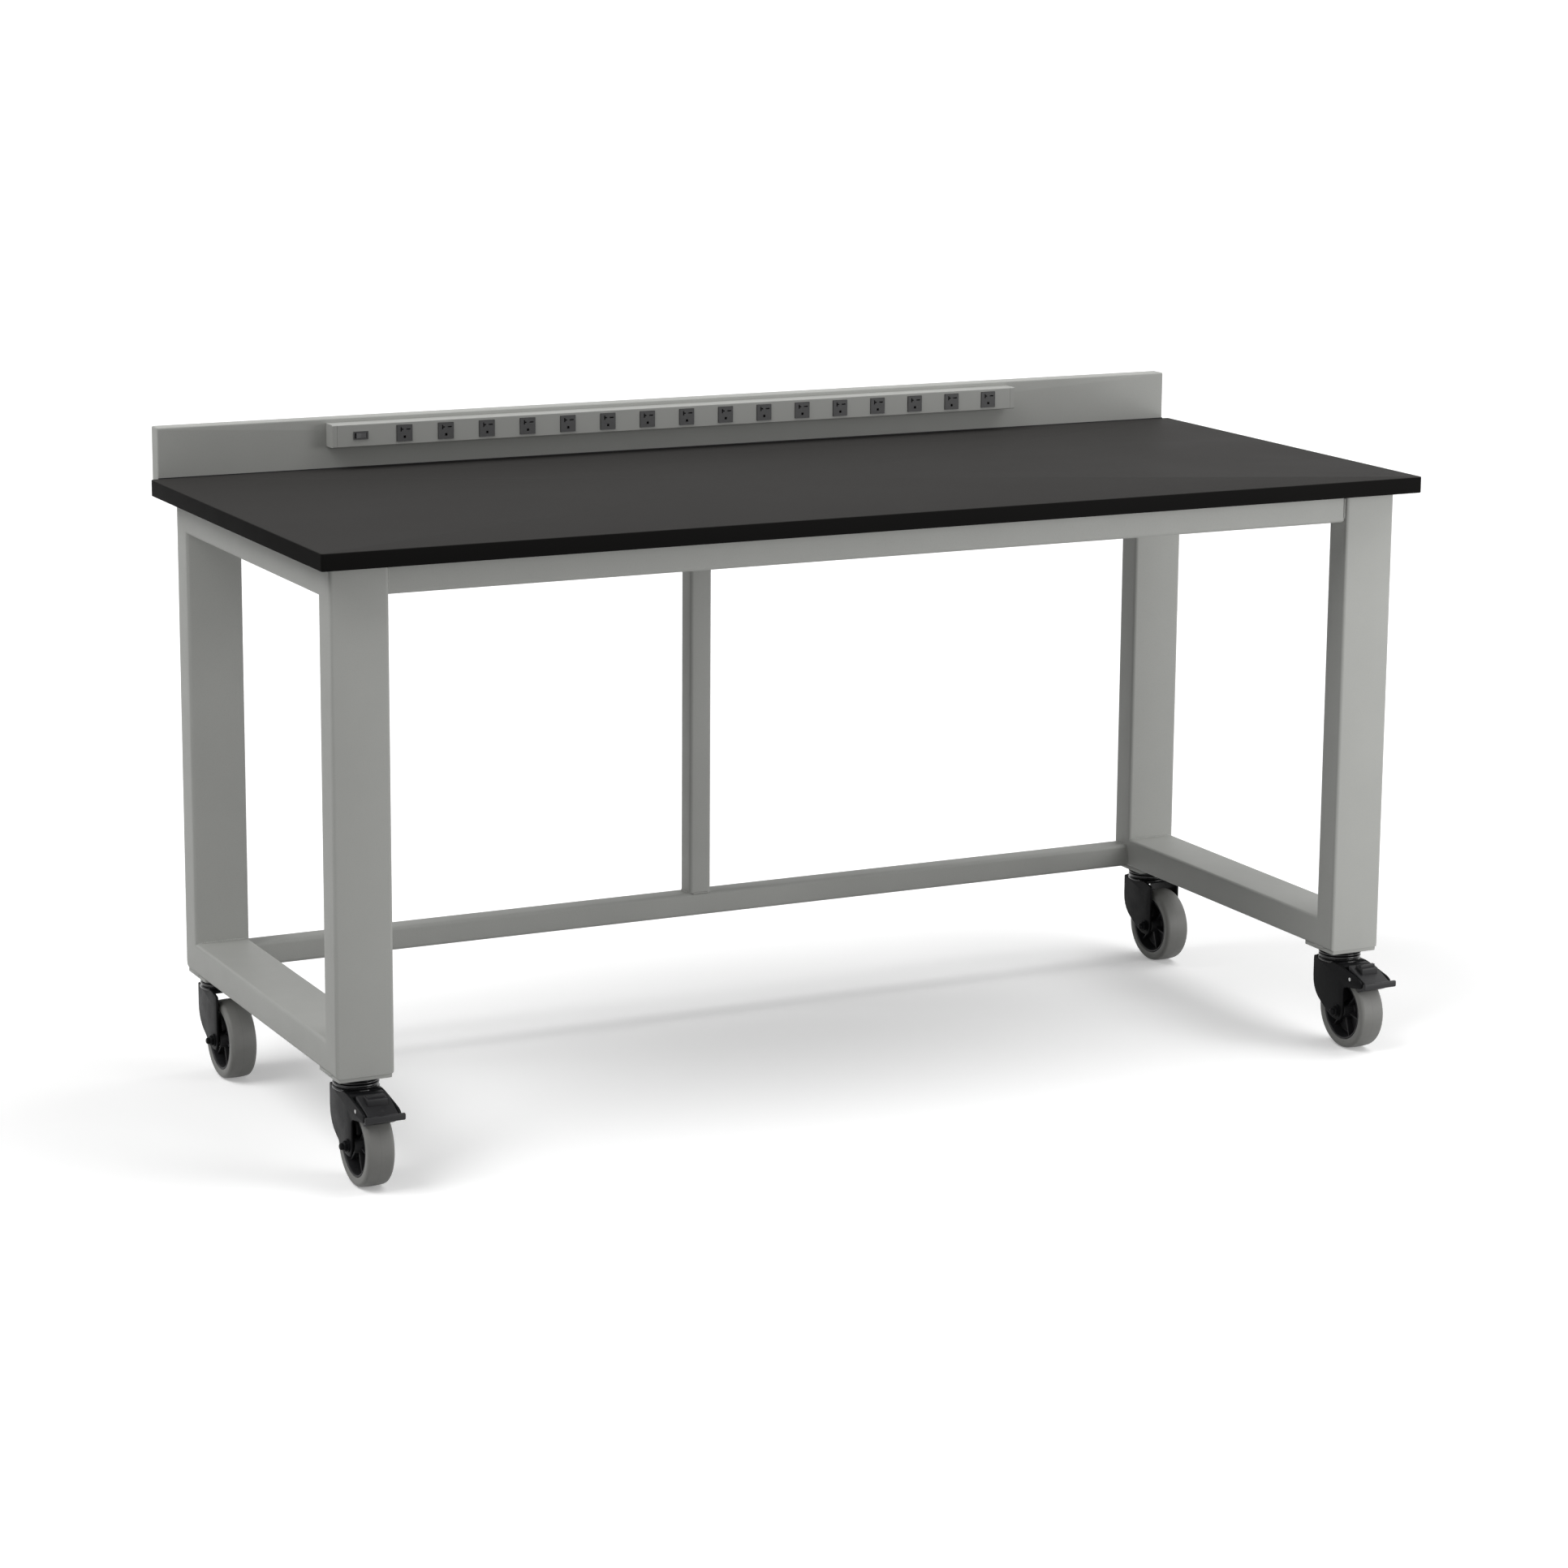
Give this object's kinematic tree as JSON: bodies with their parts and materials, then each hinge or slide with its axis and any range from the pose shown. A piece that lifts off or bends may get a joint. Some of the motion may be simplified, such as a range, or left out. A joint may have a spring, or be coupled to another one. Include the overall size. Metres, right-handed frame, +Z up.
{
  "type": "lab bench",
  "caption": "Mobile laboratory bench with a black worktop on a grey tube frame, a low backsplash with an outlet strip, and swivel casters with brake pedals at the front.",
  "frame": {"origin": "on the floor, below the middle of the bench's outer box", "axes": "+X along the bench to the user's right, +Y from the user to the backsplash, +Z up"},
  "size_m": [1.829, 0.8248, 1.009],
  "materials": {
    "frame_paint": "satin powder coat",
    "worktop_resin": "matt",
    "strip_paint": "satin",
    "outlet_plastic": "matt",
    "switch_plastic": "satin",
    "caster_enamel": "gloss black",
    "tyre_rubber": "matt grey",
    "black_plastic": "satin black",
    "bright_steel": "zinc plated",
    "conductor_brass": "bare"
  },
  "bodies": {
    "bench": {"leg_front_left": "frame_paint", "leg_rear_left": "frame_paint", "rail_bottom_left": "frame_paint", "rail_top_left": "frame_paint", "leg_front_right": "frame_paint", "leg_rear_right": "frame_paint", "rail_bottom_right": "frame_paint", "rail_top_right": "frame_paint", "front_apron": "frame_paint", "rear_top_rail": "frame_paint", "rear_stretcher": "frame_paint", "rear_post": "frame_paint", "worktop": "worktop_resin", "backsplash": "frame_paint", "strip_housing": "strip_paint", "strip_cap_left": "strip_paint", "strip_cap_right": "strip_paint", "cord_gland": "black_plastic", "outlet_carrier": "outlet_plastic", "bus_bar_line": "conductor_brass", "bus_bar_neutral": "conductor_brass", "bus_bar_earth": "conductor_brass", "switch_bezel": "black_plastic", "caster_pad_front_left": "frame_paint", "caster_race_front_left": "caster_enamel", "kingpin_nut_front_left": "bright_steel", "caster_pad_front_right": "frame_paint", "caster_race_front_right": "caster_enamel", "kingpin_nut_front_right": "bright_steel", "caster_pad_rear_left": "frame_paint", "caster_race_rear_left": "caster_enamel", "kingpin_nut_rear_left": "bright_steel", "caster_pad_rear_right": "frame_paint", "caster_race_rear_right": "caster_enamel", "kingpin_nut_rear_right": "bright_steel"},
    "swivel_front_left": {"caster_fork_front_left": "caster_enamel", "wheel_axle_front_left": "caster_enamel", "pedal_pin_front_left": "bright_steel"},
    "wheel_front_left": {"wheel_hub_front_left": "black_plastic", "tyre_front_left": "tyre_rubber"},
    "pedal_front_left": {"brake_pedal_front_left": "black_plastic"},
    "swivel_front_right": {"caster_fork_front_right": "caster_enamel", "wheel_axle_front_right": "caster_enamel", "pedal_pin_front_right": "bright_steel"},
    "wheel_front_right": {"wheel_hub_front_right": "black_plastic", "tyre_front_right": "tyre_rubber"},
    "pedal_front_right": {"brake_pedal_front_right": "black_plastic"},
    "swivel_rear_left": {"caster_fork_rear_left": "caster_enamel", "wheel_axle_rear_left": "caster_enamel"},
    "wheel_rear_left": {"wheel_hub_rear_left": "black_plastic", "tyre_rear_left": "tyre_rubber"},
    "swivel_rear_right": {"caster_fork_rear_right": "caster_enamel", "wheel_axle_rear_right": "caster_enamel"},
    "wheel_rear_right": {"wheel_hub_rear_right": "black_plastic", "tyre_rear_right": "tyre_rubber"},
    "rocker": {"rocker_switch": "switch_plastic"}
  },
  "joints": [
    {"name": "swivel_front_left", "type": "hinge", "parent": "bench", "child": "swivel_front_left", "pos_m": [-0.845, -0.297, 0.1474], "axis": [0, 0, 1], "continuous": true},
    {"name": "wheel_spin_front_left", "type": "hinge", "parent": "swivel_front_left", "child": "wheel_front_left", "pos_m": [-0.84434, -0.33499, 0.062], "axis": [0.9998, 0.0175, 0], "continuous": true},
    {"name": "pedal_tilt_front_left", "type": "hinge", "parent": "swivel_front_left", "child": "pedal_front_left", "pos_m": [-0.84374, -0.36899, 0.1225], "axis": [-0.9998, -0.0175, 0], "range_deg": [0, 18]},
    {"name": "swivel_front_right", "type": "hinge", "parent": "bench", "child": "swivel_front_right", "pos_m": [0.845, -0.297, 0.1474], "axis": [0, 0, 1], "continuous": true},
    {"name": "wheel_spin_front_right", "type": "hinge", "parent": "swivel_front_right", "child": "wheel_front_right", "pos_m": [0.84566, -0.33499, 0.062], "axis": [0.9998, 0.0175, 0], "continuous": true},
    {"name": "pedal_tilt_front_right", "type": "hinge", "parent": "swivel_front_right", "child": "pedal_front_right", "pos_m": [0.84626, -0.36899, 0.1225], "axis": [-0.9998, -0.0175, 0], "range_deg": [0, 18]},
    {"name": "swivel_rear_left", "type": "hinge", "parent": "bench", "child": "swivel_rear_left", "pos_m": [-0.845, 0.299, 0.1474], "axis": [0, 0, 1], "continuous": true},
    {"name": "wheel_spin_rear_left", "type": "hinge", "parent": "swivel_rear_left", "child": "wheel_rear_left", "pos_m": [-0.84434, 0.26101, 0.062], "axis": [0.9998, 0.0175, 0], "continuous": true},
    {"name": "swivel_rear_right", "type": "hinge", "parent": "bench", "child": "swivel_rear_right", "pos_m": [0.845, 0.299, 0.1474], "axis": [0, 0, 1], "continuous": true},
    {"name": "wheel_spin_rear_right", "type": "hinge", "parent": "swivel_rear_right", "child": "wheel_rear_right", "pos_m": [0.84633, 0.26102, 0.062], "axis": [0.9994, 0.0349, 0], "continuous": true},
    {"name": "rocker_tip", "type": "hinge", "parent": "bench", "child": "rocker", "pos_m": [-0.581, 0.3546, 0.984], "axis": [0, 0, -1], "range_deg": [0, 16]}
  ]
}
